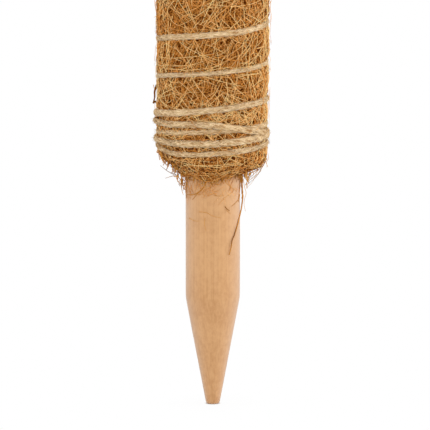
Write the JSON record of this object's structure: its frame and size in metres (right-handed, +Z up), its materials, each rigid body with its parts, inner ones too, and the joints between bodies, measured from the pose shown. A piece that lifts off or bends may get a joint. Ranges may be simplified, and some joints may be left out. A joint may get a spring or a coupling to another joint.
{
  "type": "moss pole",
  "caption": "Plant support pole: a tapered wooden stake with a coconut fibre mat rolled round it, bound on with a helix of jute twine.",
  "frame": {"origin": "middle of the small flat face at the stake's tip", "axes": "+Z up the pole along the stake, -Y towards the front, with the mat's seam and the twine's knots at the back on +Y"},
  "size_m": [0.0342, 0.036, 0.3],
  "materials": {
    "stake_wood": "pale turned softwood, sanded, unvarnished",
    "coir_fibre": "golden brown felted coconut fibre, matt, with loose fibre ends",
    "jute_twine": "pale straw two-ply twisted jute, hairy"
  },
  "bodies": {
    "root": {"stake": "stake_wood", "coir_mat": "coir_fibre", "twine": "jute_twine", "lower_knot": "jute_twine", "upper_knot": "jute_twine"}
  },
  "joints": []
}
